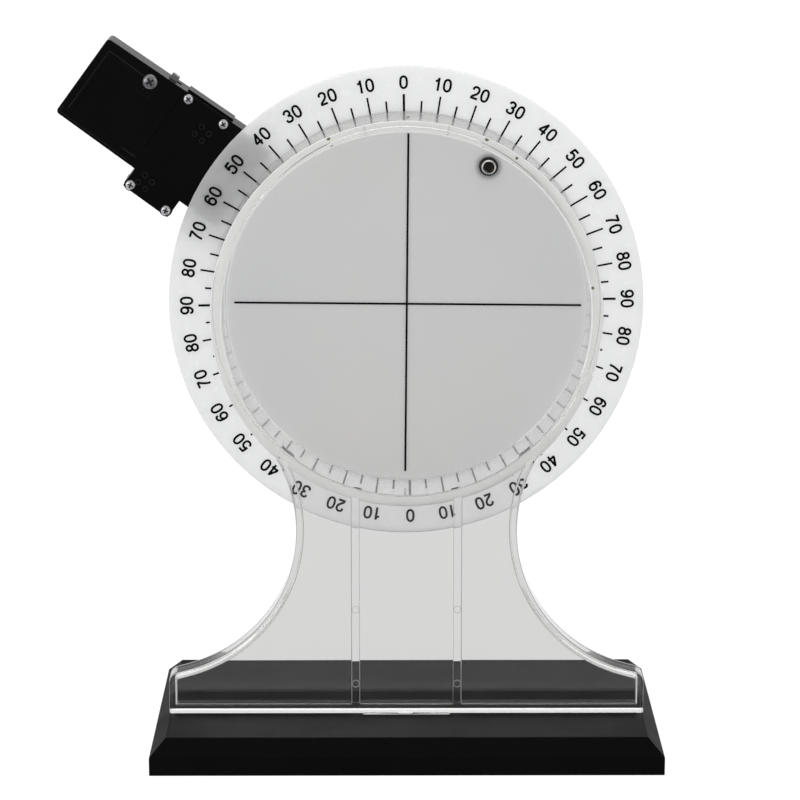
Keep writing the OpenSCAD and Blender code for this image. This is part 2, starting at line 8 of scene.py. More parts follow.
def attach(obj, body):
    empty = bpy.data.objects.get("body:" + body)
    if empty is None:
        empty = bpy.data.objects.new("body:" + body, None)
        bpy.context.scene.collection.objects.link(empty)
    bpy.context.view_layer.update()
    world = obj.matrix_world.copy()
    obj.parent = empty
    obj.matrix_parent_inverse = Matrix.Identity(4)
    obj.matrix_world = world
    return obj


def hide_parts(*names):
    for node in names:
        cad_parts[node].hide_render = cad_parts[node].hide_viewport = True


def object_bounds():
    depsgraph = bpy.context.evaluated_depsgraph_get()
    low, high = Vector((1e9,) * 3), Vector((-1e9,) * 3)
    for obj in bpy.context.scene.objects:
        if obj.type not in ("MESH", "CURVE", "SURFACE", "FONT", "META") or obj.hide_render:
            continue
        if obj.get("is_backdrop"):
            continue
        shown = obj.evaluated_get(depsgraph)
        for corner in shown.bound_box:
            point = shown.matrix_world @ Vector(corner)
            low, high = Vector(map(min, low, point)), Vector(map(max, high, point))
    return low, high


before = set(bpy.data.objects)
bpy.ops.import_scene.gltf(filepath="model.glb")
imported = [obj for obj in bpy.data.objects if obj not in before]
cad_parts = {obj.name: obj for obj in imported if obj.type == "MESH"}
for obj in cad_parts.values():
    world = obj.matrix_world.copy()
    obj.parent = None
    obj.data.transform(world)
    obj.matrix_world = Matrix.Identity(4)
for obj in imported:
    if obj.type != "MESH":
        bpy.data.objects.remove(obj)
cad_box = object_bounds()

# Camera. It stands a metre and a half in front of the instrument with a long lens, a little
# to the left and well above the dial, so it looks down on the base and into the drum.
lens = bpy.data.cameras.new("camera")
lens.sensor_fit = "HORIZONTAL"
lens.sensor_width = 36
lens.lens = 135.94
lens.clip_end = 20
camera = bpy.data.objects.new("camera", lens)
camera.location = (-0.00963, -1.4915, 0.5150)
camera.rotation_euler = (math.radians(77.1615), 0, -0.00433)
bpy.context.scene.collection.objects.link(camera)
bpy.context.scene.camera = camera
bpy.context.scene.view_settings.view_transform = "Standard"


# Studio. White paper swept under and behind the instrument, a large soft box overhead, one on
# each side of the camera and one behind. The paper keeps a faint shadow and is white to the camera.
def linear(code, alpha=1.0):
    """An sRGB hex colour as the linear numbers that a socket holds."""
    parts = [int(code[i:i + 2], 16) / 255 for i in (1, 3, 5)]
    return (*[c / 12.92 if c <= 0.04045 else ((c + 0.055) / 1.055) ** 2.4 for c in parts], alpha)


def add(tree, kind, inputs=None, **settings):
    """Adds one node with its settings, and fills its inputs with values or links."""
    node = tree.nodes.new(kind)
    for name, value in settings.items():
        setattr(node, name, value)
    for name, value in (inputs or {}).items():
        if isinstance(value, bpy.types.NodeSocket):
            tree.links.new(value, node.inputs[name])
        else:
            node.inputs[name].default_value = value
    return node


def blank(data):
    """Empties the node tree of a material or world and returns it."""
    data.use_nodes = True
    data.node_tree.nodes.clear()
    return data.node_tree


def seen_directly(tree):
    """1 on rays from the camera, a mirror or through glass, and 0 on those that light things."""
    path = add(tree, "ShaderNodeLightPath")
    either = add(tree, "ShaderNodeMath", {
        0: path.outputs["Is Camera Ray"], 1: path.outputs["Is Glossy Ray"],
    }, operation="MAXIMUM")
    any_of_them = add(tree, "ShaderNodeMath", {
        0: either.outputs[0], 1: path.outputs["Is Transmission Ray"],
    }, operation="MAXIMUM")
    return any_of_them.outputs[0]


# The room is white to the camera, low down and behind glass, and any other mirror sees it dim
world = bpy.data.worlds.new("studio")
bpy.context.scene.world = world
tree = blank(world)
room = add(tree, "ShaderNodeBackground", {"Color": linear("#f4f5f7"), "Strength": 0.62})
way = add(tree, "ShaderNodeSeparateXYZ", {"Vector": add(tree, "ShaderNodeTexCoord").outputs["Generated"]})
behind = add(tree, "ShaderNodeMapRange", {
    "Value": way.outputs["Y"], "From Min": 0.2, "From Max": 0.6,
}, interpolation_type="SMOOTHSTEP")
low = add(tree, "ShaderNodeMapRange", {
    "Value": way.outputs["Z"], "From Min": 0.05, "From Max": 0.2, "To Min": 1.0, "To Max": 0.0,
}, interpolation_type="SMOOTHSTEP")
path = add(tree, "ShaderNodeLightPath")
glass_back = add(tree, "ShaderNodeMath", {
    0: behind.outputs[0], 1: path.outputs["Is Transmission Ray"],
}, operation="MULTIPLY")
paper_side = add(tree, "ShaderNodeMath", {0: glass_back.outputs[0], 1: low.outputs[0]}, operation="MAXIMUM")
open_side = add(tree, "ShaderNodeMath", {
    0: paper_side.outputs[0], 1: path.outputs["Is Camera Ray"],
}, operation="MAXIMUM")
glow = add(tree, "ShaderNodeMapRange", {"Value": open_side.outputs[0], "To Min": 0.22, "To Max": 1.0})
white = add(tree, "ShaderNodeBackground", {"Color": (1, 1, 1, 1), "Strength": glow.outputs[0]})
both = add(tree, "ShaderNodeMixShader", {0: seen_directly(tree), 1: room.outputs[0], 2: white.outputs[0]})
add(tree, "ShaderNodeOutputWorld", {"Surface": both.outputs[0]})

# A small share of matt paper carries the shadow, and mirrors see the strip in front of the base darker
paper = bpy.data.materials.new("white_paper")
tree = blank(paper)
where = add(tree, "ShaderNodeTexCoord").outputs["Object"]
cloud_mm = 40
grain = add(tree, "ShaderNodeTexNoise", {"Vector": where, "Scale": 1000 / cloud_mm})
tone = add(tree, "ShaderNodeMapRange", {"Value": grain.outputs[0], "To Min": 0.80, "To Max": 0.84})
place = add(tree, "ShaderNodeSeparateXYZ", {"Vector": where})
in_front = add(tree, "ShaderNodeMapRange", {
    "Value": place.outputs["Y"], "From Min": -0.14, "From Max": -0.06, "To Min": 1.0, "To Max": 0.0,
})
path = add(tree, "ShaderNodeLightPath")
mirrored = add(tree, "ShaderNodeMath", {
    0: path.outputs["Is Glossy Ray"], 1: path.outputs["Is Transmission Ray"],
}, operation="SUBTRACT", use_clamp=True)
strip = add(tree, "ShaderNodeMath", {0: in_front.outputs[0], 1: mirrored.outputs[0]}, operation="MULTIPLY")
bright_share = add(tree, "ShaderNodeMath", {0: 1.0, 1: strip.outputs[0]}, operation="SUBTRACT")
dimmed = add(tree, "ShaderNodeMapRange", {"Value": strip.outputs[0], "To Min": 1.0, "To Max": 0.3})
paper_tone = add(tree, "ShaderNodeMath", {0: tone.outputs[0], 1: dimmed.outputs[0]}, operation="MULTIPLY")
matt = add(tree, "ShaderNodeBsdfDiffuse", {"Color": paper_tone.outputs[0]})
behind_glass = add(tree, "ShaderNodeMapRange", {
    "Value": path.outputs["Is Transmission Ray"], "To Min": 1.12, "To Max": 0.82,
})
bright = add(tree, "ShaderNodeEmission", {"Color": (1, 1, 1, 1), "Strength": behind_glass.outputs[0]})
seen = add(tree, "ShaderNodeMath", {
    0: seen_directly(tree), 1: bright_share.outputs[0],
}, operation="MULTIPLY")
share = add(tree, "ShaderNodeMath", {0: seen.outputs[0], 1: 0.88}, operation="MULTIPLY")
both = add(tree, "ShaderNodeMixShader", {0: share.outputs[0], 1: matt.outputs[0], 2: bright.outputs[0]})
add(tree, "ShaderNodeOutputMaterial", {"Surface": both.outputs[0]})
bm = bmesh.new()
bmesh.ops.create_grid(bm, x_segments=1, y_segments=1, size=20.0)
mesh = bpy.data.meshes.new("floor")
bm.to_mesh(mesh)
bm.free()
mesh.materials.append(paper)
floor = bpy.data.objects.new("floor", mesh)
bpy.context.scene.collection.objects.link(floor)
floor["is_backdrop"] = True

aim = Vector((0, 0, 0.2))
for name, at, size, watts in (
    ("top_box", (0.0, -0.15, 1.35), (1.2, 0.8), 4.4),
    ("left_box", (-1.25, -1.25, 0.75), (0.9, 0.9), 6.9),
    ("right_box", (1.25, -1.25, 0.75), (0.9, 0.9), 2.6),
    ("back_box", (0.0, 1.5, 1.1), (1.4, 0.8), 9.0),
):
    lamp = bpy.data.lights.new(name, "AREA")
    lamp.shape = "RECTANGLE"
    lamp.size, lamp.size_y = size
    lamp.energy = watts
    holder = bpy.data.objects.new(name, lamp)
    holder.location = at
    holder.visible_camera = False
    holder.rotation_euler = (aim - Vector(at)).to_track_quat("-Z", "Y").to_euler()
    bpy.context.scene.collection.objects.link(holder)


# Base. A low hollow plinth moulded in black ABS with a fine eggshell grain and a wide
# chamfer. The foot of the leg plugs into a pocket in its top, and a cover closes it below.
def finished(name, bm, body, slot, *materials):
    """Makes a piece of a bmesh drawn in millimetres, smooth up to an angle, and mounts it on a body."""
    smooth_up_to = 30
    bmesh.ops.scale(bm, vec=(0.001, 0.001, 0.001), verts=bm.verts)
    mesh = bpy.data.meshes.new(name)
    bm.to_mesh(mesh)
    bm.free()
    for material in materials:
        mesh.materials.append(material)
    mesh.shade_smooth()
    mesh.set_sharp_from_angle(angle=math.radians(smooth_up_to))
    piece = bpy.data.objects.new(name, mesh)
    bpy.context.scene.collection.objects.link(piece)
    weighted = piece.modifiers.new("even_faces", "WEIGHTED_NORMAL")
    weighted.keep_sharp = True
    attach(piece, body)
    return piece


def block(low, high):
    """A rectangular solid between two corners."""
    bm = bmesh.new()
    bmesh.ops.create_cube(bm, size=1)
    bmesh.ops.scale(bm, vec=Vector(high) - Vector(low), verts=bm.verts)
    bmesh.ops.translate(bm, vec=(Vector(high) + Vector(low)) / 2, verts=bm.verts)
    return bm


def worked(bm, *steps):
    """A solid with others cut from it or joined to it in turn."""
    most_materials = 5
    objects = []
    for part in [bm] + [cutter for operation, cutter in steps]:
        mesh = bpy.data.meshes.new("blank")
        bmesh.ops.recalc_face_normals(part, faces=part.faces[:])
        part.to_mesh(mesh)
        part.free()
        for place in range(most_materials):
            mesh.materials.append(None)
        objects.append(bpy.data.objects.new("blank", mesh))
        bpy.context.scene.collection.objects.link(objects[-1])
    for (operation, cutter), other in zip(steps, objects[1:]):
        stage = objects[0].modifiers.new(operation, "BOOLEAN")
        stage.operation, stage.object, stage.solver = operation, other, "EXACT"
    result = bmesh.new()
    result.from_object(objects[0], bpy.context.evaluated_depsgraph_get())
    for used in objects:
        data = used.data
        bpy.data.objects.remove(used)
        bpy.data.meshes.remove(data)
    bmesh.ops.remove_doubles(result, verts=result.verts, dist=0.002)
    bmesh.ops.dissolve_limit(result, angle_limit=math.radians(0.3), verts=result.verts, edges=result.edges)
    return result


def bevelled(bm, edges, size, segments):
    """Cuts a flat on the given edges, or rounds them in steps, and returns the new faces."""
    return bmesh.ops.bevel(
        bm, geom=edges, offset=size, segments=segments, profile=0.5,
        affect="EDGES", clamp_overlap=True, material=-1,
    )["faces"]


def from_axis(point):
    """How far a point lies from the dial's axis, in a shape that is drawn about it."""
    return math.hypot(point.x, point.z)


def soften(bm, radius, segments=2, least=35, spared=None):
    """Rounds every edge whose faces meet at more than the least angle, but not an edge that runs round
    the dial's axis at the spared radius. The new faces take the second material, if there is one."""
    sharp = [e for e in bm.edges if len(e.link_faces) == 2 and e.calc_face_angle(0) > math.radians(least)]
    if spared is not None:
        sharp = [e for e in sharp if not all(abs(from_axis(v.co) - spared) < 0.1 for v in e.verts)]
    for face in bevelled(bm, sharp, radius, segments):
        face.material_index = 1
    return bm


def mottle(tree, patch_mm, detail, first, second):
    """Soft patches of about a size on a piece. Gives the piece's own place, the patches, and the colour
    that they mix of two."""
    where = add(tree, "ShaderNodeTexCoord").outputs["Object"]
    noise = add(tree, "ShaderNodeTexNoise", {"Vector": where, "Scale": 1000 / patch_mm, "Detail": detail})
    colour = add(tree, "ShaderNodeMix", {
        0: noise.outputs[0], 6: linear(first), 7: linear(second),
    }, data_type="RGBA")
    return where, noise.outputs[0], colour.outputs[2]


def moulded_abs(name, dark, light, grain_mm, shine, rough):
    """ABS as it leaves a grained tool: nearly even colour, clouded over a few centimetres, and a soft,
    broken shine. The real grain is about 0.1 mm, and is drawn a few times as coarse to show at all."""
    material = bpy.data.materials.new(name)
    tree = blank(material)
    where, cloud, colour = mottle(tree, 28.6, 4.0, dark, light)
    grain = add(tree, "ShaderNodeTexNoise", {"Vector": where, "Scale": 1000 / grain_mm, "Detail": 3.0})
    haze = add(tree, "ShaderNodeMapRange", {
        "Value": cloud, "From Min": 0.3, "From Max": 0.7, "To Min": rough - 0.04, "To Max": rough + 0.05,
    })
    bump = add(tree, "ShaderNodeBump", {"Strength": 0.05, "Distance": 0.0001, "Height": grain.outputs[0]})
    shader = add(tree, "ShaderNodeBsdfPrincipled", {
        "Base Color": colour, "Roughness": haze.outputs[0], "IOR": 1.53,
        "Specular IOR Level": shine, "Normal": bump.outputs[0],
    })
    add(tree, "ShaderNodeOutputMaterial", {"Surface": shader.outputs[0]})
    return material


base_abs = moulded_abs("abs_black_eggshell", "#09090a", "#0e0e0f", 0.5, 0.02, 0.45)
base_half_w, base_half_d, base_under, base_top, chamfer = 128, 71.5, 0.1, 17.42, 8
wall, cover_up = 3, 2.7
tongue_half, tongue_front, tongue_back, tongue_end, tongue_play = 22, -26, -15.7, 11.5, 0.2
bm = block((-base_half_w, -base_half_d, base_under), (base_half_w, base_half_d, base_top))
bevelled(bm, [e for e in bm.edges if all(v.co.z > base_top - 0.1 for v in e.verts)], chamfer, 1)
pocket = block(
    (-tongue_half - tongue_play, tongue_front - tongue_play, tongue_end - tongue_play),
    (tongue_half + tongue_play, tongue_back + tongue_play, base_top + 3),
)
inner_half_w, inner_half_d = base_half_w - wall, base_half_d - wall
cover_seat = block((-inner_half_w, -inner_half_d, 0), (inner_half_w, inner_half_d, cover_up))
bm = worked(bm, ("DIFFERENCE", pocket), ("DIFFERENCE", cover_seat))
base = finished("base_moulding", soften(bm, 0.45, 3), "stand", "black_abs", base_abs, base_abs)
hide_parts("base_plinth")


# Clear moulding. Drum ring and leg as one injection moulding in water-clear acrylic: a ring
# 36 deep, and under it a thin front plate stiffened by a rim and two ribs, open at the back.
# Its edges are polished round by the tool, and the ejector pins left shallow discs on the ribs.
def clear_acrylic(name, tint, wave, matt=0.0, mirror=0.5):
    """Moulded or cast acrylic: polished and very slightly wavy, or matt where it is scuffed. Lamps shine
    through it unbroken. The waves are those of the melt's flow, and the scuffs those of handling."""
    wave_mm, scuff_mm = 35.7, 6.25
    material = bpy.data.materials.new(name)
    tree = blank(material)
    where = add(tree, "ShaderNodeTexCoord").outputs["Object"]
    flow = add(tree, "ShaderNodeTexNoise", {"Vector": where, "Scale": 1000 / wave_mm, "Detail": 2.0})
    bump = add(tree, "ShaderNodeBump", {"Strength": wave, "Distance": 0.0006, "Height": flow.outputs[0]})
    scuff = add(tree, "ShaderNodeTexNoise", {
        "Vector": where, "Scale": 1000 / scuff_mm, "Detail": 6.0, "Roughness": 0.7,
    })
    haze = add(tree, "ShaderNodeMapRange", {
        "Value": scuff.outputs[0], "From Min": 0.55, "From Max": 0.8, "To Min": matt, "To Max": matt * 1.3,
    })
    shader = add(tree, "ShaderNodeBsdfPrincipled", {
        "Base Color": linear(tint), "Roughness": haze.outputs[0], "IOR": 1.49, "Specular IOR Level": mirror,
        "Transmission Weight": 1.0, "Normal": bump.outputs[0],
    })
    path = add(tree, "ShaderNodeLightPath")
    through = add(tree, "ShaderNodeBsdfTransparent", {"Color": (0.985, 0.985, 0.985, 1)})
    lighting = add(tree, "ShaderNodeMath", {
        0: path.outputs["Is Shadow Ray"], 1: path.outputs["Is Diffuse Ray"],
    }, operation="MAXIMUM")
    both = add(tree, "ShaderNodeMixShader", {
        0: lighting.outputs[0], 1: shader.outputs[0], 2: through.outputs[0],
    })
    add(tree, "ShaderNodeOutputMaterial", {"Surface": both.outputs[0]})
    return material


def dulled_edge(name, light, dark, clear=0.3):
    """Painted edge light for acrylic: thin matt lines, lighter than black and darker than paper, a fixed
    tone that stands in for the light and shade polished edges catch, uneven over a centimetre or so."""
    material = bpy.data.materials.new(name)
    tree = blank(material)
    tone = mottle(tree, 11.1, 4.0, light, dark)[2]
    shader = add(tree, "ShaderNodeBsdfPrincipled", {
        "Base Color": tone, "Roughness": 0.35, "IOR": 1.49, "Transmission Weight": clear,
    })
    add(tree, "ShaderNodeOutputMaterial", {"Surface": shader.outputs[0]})
    return material


def turned(profile, steps=240):
    """A solid turned about the dial's axis from the corners (radius, y) of its section."""
    bm = bmesh.new()
    corners = [bmesh.ops.create_vert(bm, co=(0, y, r))["vert"][0] for r, y in profile]
    bm.faces.new(corners)
    bmesh.ops.spin(
        bm, geom=bm.verts[:] + bm.edges[:] + bm.faces[:], cent=(0, 0, 0), axis=(0, 1, 0),
        angle=math.radians(360), steps=steps, use_merge=True,
    )
    bmesh.ops.remove_doubles(bm, verts=bm.verts, dist=0.001)
    inside = [f for f in bm.faces if all(len(e.link_faces) > 2 for e in f.edges)]
    bmesh.ops.delete(bm, geom=inside, context="FACES_ONLY")
    bmesh.ops.recalc_face_normals(bm, faces=bm.faces[:])
    return bm


def turned_to(bm, angle):
    """Turns what is drawn at the top of the dial clockwise by an angle in degrees, seen from the front."""
    bmesh.ops.rotate(bm, cent=(0, 0, 0), matrix=Matrix.Rotation(math.radians(angle), 3, "Y"), verts=bm.verts)
    return bm


def raised(bm):
    """Lifts what is drawn about the dial's centre to its height above the table."""
    bmesh.ops.translate(bm, vec=(0, 0, dial_up), verts=bm.verts)
    return bm


def peg(x, z, diameter, front, back, sides=32):
    """A round bar along Y between two depths."""
    bm = bmesh.new()
    bmesh.ops.create_cone(
        bm, cap_ends=True, segments=sides, radius1=diameter / 2, radius2=diameter / 2, depth=back - front,
    )
    bmesh.ops.rotate(bm, cent=(0, 0, 0), matrix=Matrix.Rotation(math.radians(90), 3, "X"), verts=bm.verts)
    bmesh.ops.translate(bm, vec=(x, (front + back) / 2, z), verts=bm.verts)
    return bm


def tinted(bm, index):
    """Gives every face of a cutter or a part one material place."""
    for face in bm.faces:
        face.material_index = index
    return bm


def leg_block(inset, floor_up, front, back):
    """The leg's outline drawn round from the drum to the foot, mirrored, filled and given its depth.
    Each side is a hollow arc, then a straight that meets the foot's upright end in a small corner."""
    side_x, side_z, side_round, straight_from, foot_corner = 131.5, -109.4, 76, 111.8, 5
    side = Vector((side_x, front, side_z))
    radius, edge, corner = side_round + inset, foot_half - inset, max(foot_corner - inset, 0.8)
    slope = math.acos((side_x - straight_from) / side_round)
    bm = bmesh.new()

    def last_to(x, z):
        tip = bmesh.ops.extrude_vert_indiv(bm, verts=[path[-1]])["verts"][0]
        tip.co = (x, front, z)
        path.append(tip)

    def arc(centre, sweep, steps):
        turn = bmesh.ops.spin(bm, geom=[path[-1]], cent=centre, axis=(0, -1, 0), angle=sweep, steps=steps)
        path.append(next(v for v in turn["geom_last"] if isinstance(v, bmesh.types.BMVert)))

    path = [bmesh.ops.create_vert(bm, co=(0, front, 0))["vert"][0]]
    towards = math.atan2(-side_z, -side_x)
    last_to(side.x + radius * math.cos(towards), side.z + radius * math.sin(towards))
    arc(side, math.pi + slope - towards, 48)
    end = path[-1].co.copy()
    point_z = end.z - (edge - end.x) / math.tan(slope)
    middle = Vector((edge - corner, front, point_z - corner / math.tan((math.pi - slope) / 2)))
    last_to(middle.x + corner * math.cos(slope), middle.z + corner * math.sin(slope))
    arc(middle, -slope, 10)
    last_to(edge, foot_z + floor_up)
    last_to(0, foot_z + floor_up)
    bmesh.ops.mirror(bm, geom=bm.verts[:] + bm.edges[:], axis="X", merge_dist=0.001)
    bmesh.ops.remove_doubles(bm, verts=bm.verts, dist=0.001)
    bmesh.ops.contextual_create(bm, geom=bm.edges[:])
    grown = bmesh.ops.extrude_face_region(bm, geom=bm.faces[:] + bm.edges[:], use_keep_orig=True)["geom"]
    moved = [v for v in grown if isinstance(v, bmesh.types.BMVert)]
    bmesh.ops.translate(bm, vec=(0, back - front, 0), verts=moved)
    bmesh.ops.recalc_face_normals(bm, faces=bm.faces[:])
    return bm


leg_acrylic = clear_acrylic("acrylic_clear_moulded", "#dfdfde", 0.03)
ring_acrylic = clear_acrylic("acrylic_clear_moulded_ring", "#fafaf9", 0.03, mirror=0.3)
painted_edge_lines = dulled_edge("acrylic_painted_edge_lines", "#c9c9c7", "#b0b0ae")
painted_lip_highlight = dulled_edge("acrylic_painted_lip_highlight", "#fbfbfa", "#ececea", 0.0)
scuffed = clear_acrylic("acrylic_scuffed", "#fcf9f7", 0.04, 0.2)
dial_up = 223.4
face_y, leg_back, foot_z, foot_half = -27, -14.7, -205.9, 120.5
hair = 0.1

# Leg: a plate, hollowed from behind and cut to the middle of the ring's wall. The painted edge
# lines stay near its front.
plate = leg_block(0, 0, face_y, leg_back)
sill = [e for e in plate.edges if all(v.co.y < face_y + hair and v.co.z < foot_z + hair for v in e.verts)]
bevelled(plate, sill, 1.0, 3)
rim, foot_floor, plate_back = 2.9, 3.8, -24
pocket = leg_block(rim, foot_floor, plate_back, -10)
root = [e for e in pocket.edges if all(v.co.y < plate_back + hair for v in e.verts)]
for face in bevelled(pocket, root, 1.1, 4):
    if face.calc_center_median().y < plate_back + hair:
        face.material_index = 1
seat_round = 94.3
seat = turned([(0, -40), (seat_round, -40), (seat_round, 0), (0, 0)], steps=160)
leg = soften(worked(plate, ("DIFFERENCE", pocket), ("DIFFERENCE", seat)), 0.5, 3, spared=seat_round)
for face in leg.faces:
    middle = face.calc_center_median()
    if middle.y > -22 or abs(middle.x) > foot_half - 0.3:
        face.material_index = 0

# Ring: its front lips carry a painted white highlight down to below the dial's centre, and its top is
# scuffed
ring_in, ring_out, ring_back = 91.3, 97.3, 8.9
ring = turned([(ring_in, face_y), (ring_out, face_y), (ring_out, ring_back), (ring_in, ring_back)])
lip = [e for e in ring.edges if all(v.co.y < face_y + hair and from_axis(v.co) < 92 for v in e.verts)]
for face in bevelled(ring, lip, 0.9, 4):
    face.material_index = 1
soften(ring, 0.4, 3)
for face in ring.faces:
    middle = face.calc_center_median()
    lip_face = face.material_index == 1
    on_top = from_axis(middle) > ring_out - hair and middle.z > 55
    face.material_index = 2
    # Painted highlight: only the upper front lips are white
    if lip_face and middle.z > -30 and middle.y < -20:
        face.material_index = 3
    elif on_top and not lip_face:
        face.material_index = 4

# Ribs behind the plate, a bead under the foot's front, and the stub of the gate on it
rib_in, rib_thick, rib_back = 23.6, 4.4, -18.3
joined = []
for left in (-rib_in - rib_thick, rib_in):
    rib = block((left, -26, -204), (left + rib_thick, rib_back, -91.5))
    joined.append(("UNION", soften(rib, 0.35)))
bead = block((-tongue_half, -28.9, foot_z), (tongue_half, -25, foot_z + 0.5))
gate = bmesh.new()
bmesh.ops.create_uvsphere(gate, u_segments=24, v_segments=12, radius=1)
bmesh.ops.scale(gate, vec=(4.0, 1.3, 0.6), verts=gate.verts)
bmesh.ops.translate(gate, vec=(-0.6, -27.6, foot_z + 0.65), verts=gate.verts)
# The gate's stub takes the same painted white highlight
joined += [("UNION", soften(bead, 0.2)), ("UNION", tinted(gate, 3)), ("UNION", ring)]

# Rings left by the ejector pins on the ribs, and two flow seams in the ring's front face
marks = []
for x in (-25.8, 25.8):
    for z in (-152.5, -191.8):
        pin = worked(peg(x, z, 3.9, rib_back - 0.15, -18), ("DIFFERENCE", peg(x, z, 3.3, -19, -17)))
        marks.append(("DIFFERENCE", tinted(pin, 1)))
for angle in (-12.4, 12.4):
    seam = block((-0.2, -30, 91.9), (0.2, face_y + 0.4, 96.7))
    marks.append(("DIFFERENCE", turned_to(tinted(seam, 1), angle)))
bm = leg
for step in joined + marks:
    bm = worked(bm, step)
moulding = finished(
    "clear_moulding", raised(bm), "stand", "clear_acrylic",
    leg_acrylic, painted_edge_lines, ring_acrylic, painted_lip_highlight, scuffed,
)
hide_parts("drum_ring", "leg_shell")
tongue = block((-tongue_half, tongue_front, tongue_end), (tongue_half, tongue_back, base_top - 0.02))
finished("foot_tongue", tinted(soften(tongue, 0.4), 0), "stand", "clear_acrylic", leg_acrylic)


# Joint between ring and dial. The ring is bonded to the dial with solvent cement, which shows as
# a white film, and a few dabs of a thicker glue have yellowed, one of them on the ring's top.
def cement(name):
    """A film of solvent cement that has bloomed white in the joint, in patches of a centimetre or two."""
    material = bpy.data.materials.new(name)
    tree = blank(material)
    tone = mottle(tree, 16.7, 5.0, "#f9f8f7", "#ebeae8")[2]
    shader = add(tree, "ShaderNodeBsdfPrincipled", {"Base Color": tone, "Roughness": 0.7, "IOR": 1.49})
    add(tree, "ShaderNodeOutputMaterial", {"Surface": shader.outputs[0]})
    return material


def aged_glue(name):
    """Adhesive that has yellowed and picked up dust, drawn in specks of 0.8 mm so that they show."""
    material = bpy.data.materials.new(name)
    tree = blank(material)
    tone = mottle(tree, 0.833, 3.0, "#857a4c", "#4a4228")[2]
    shader = add(tree, "ShaderNodeBsdfPrincipled", {"Base Color": tone, "Roughness": 0.5, "IOR": 1.5})
    add(tree, "ShaderNodeOutputMaterial", {"Surface": shader.outputs[0]})
    return material


def gathered(parts):
    """Several bmeshes as one, in turn."""
    whole = bmesh.new()
    mesh = bpy.data.meshes.new("part")
    for part in parts:
        part.to_mesh(mesh)
        part.free()
        whole.from_mesh(mesh)
    bpy.data.meshes.remove(mesh)
    return whole


film_in, film_out, film_front, film_back = ring_in + 0.1, ring_out - 0.1, 8.93, 8.97
film = turned([(film_in, film_front), (film_out, film_front), (film_out, film_back), (film_in, film_back)])
finished("drum_joint", raised(film), "stand", "clear_acrylic", cement("cement_solvent_bloom"))
parts = []
for angle, radius, across in ((-24.4, 93.6, 1.9), (25.2, 93.8, 2.0), (36.0, 93.2, 1.5), (84.0, 94.0, 1.6)):
    around = math.radians(angle)
    parts.append(peg(radius * math.sin(around), radius * math.cos(around), across, 8.905, 8.925, 16))
dabs = gathered(parts)
drop = bmesh.ops.create_uvsphere(dabs, u_segments=16, v_segments=8, radius=0.85)["verts"]
bmesh.ops.scale(dabs, vec=(1, 1, 0.35), verts=drop)
bmesh.ops.translate(dabs, vec=(0.8, -14, ring_out + 0.1), verts=drop)
finished("glue_dabs", raised(dabs), "stand", "clear_acrylic", aged_glue("glue_aged_amber"))


# Milky screen. A disc sawn from 3 mm translucent sheet and dropped into the ring, where it
# catches the beam. Two hairlines are engraved across it and filled with black.
plug_reach, plug_turn, plug_hole = 81.2, math.radians(30.4), 5.0
plug_x, plug_z = plug_reach * math.sin(plug_turn), plug_reach * math.cos(plug_turn)


def sheet_plastic(name, light, dark, depth, rough, painted_plug_shadow=0.0):
    """Cast acrylic sheet with white pigment: light goes a little way in and comes back soft. Its tone
    drifts over a hand's width, fine scuffs break its shine, and a painted shadow rings the plug's hole."""
    scuff_mm = 4.55
    material = bpy.data.materials.new(name)
    tree = blank(material)
    where, _, sheet = mottle(tree, 111, 3.0, light, dark)
    scuff = add(tree, "ShaderNodeTexNoise", {"Vector": where, "Scale": 1000 / scuff_mm, "Detail": 5.0})
    centre = (plug_x / 1000, 0.006, (dial_up + plug_z) / 1000)
    away = add(tree, "ShaderNodeVectorMath", {0: where, 1: centre}, operation="DISTANCE")
    # Painted shadow: the sheet darkens towards the plug's hole, as deep as the shadow argument asks
    halo = add(tree, "ShaderNodeMapRange", {
        "Value": away.outputs["Value"], "From Min": 0.0042, "From Max": 0.0078,
        "To Min": painted_plug_shadow, "To Max": 0.0,
    }, interpolation_type="SMOOTHSTEP")
    colour = add(tree, "ShaderNodeMix", {
        0: halo.outputs[0], 6: sheet, 7: linear("#4a4844"),
    }, data_type="RGBA")
    haze = add(tree, "ShaderNodeMapRange", {
        "Value": scuff.outputs[0], "To Min": rough, "To Max": rough + 0.12,
    })
    bump = add(tree, "ShaderNodeBump", {"Strength": 0.05, "Distance": 0.0002, "Height": scuff.outputs[0]})
    shader = add(tree, "ShaderNodeBsdfPrincipled", {
        "Base Color": colour.outputs[2], "Roughness": haze.outputs[0], "IOR": 1.49,
        "Specular IOR Level": 0.4, "Normal": bump.outputs[0],
        "Subsurface Weight": 1.0, "Subsurface Radius": (1.0, 1.0, 1.0), "Subsurface Scale": depth,
    })
    add(tree, "ShaderNodeOutputMaterial", {"Surface": shader.outputs[0]})
    return material


def ink(name, colour):
    """Filled or printed black: dead flat, with a trace of speckle where it is thin. The real speckle is
    finer than the 0.4 mm that it is drawn."""
    material = bpy.data.materials.new(name)
    tree = blank(material)
    tone = mottle(tree, 0.4, 2.0, colour, "#141416")[2]
    shader = add(tree, "ShaderNodeBsdfPrincipled", {
        "Base Color": tone, "Roughness": 0.6, "Specular IOR Level": 0.03,
    })
    add(tree, "ShaderNodeOutputMaterial", {"Surface": shader.outputs[0]})
    return material


def disc(radius, front, back, sides=240):
    """A round plate on the dial's axis."""
    return peg(0, 0, 2 * radius, front, back, sides)
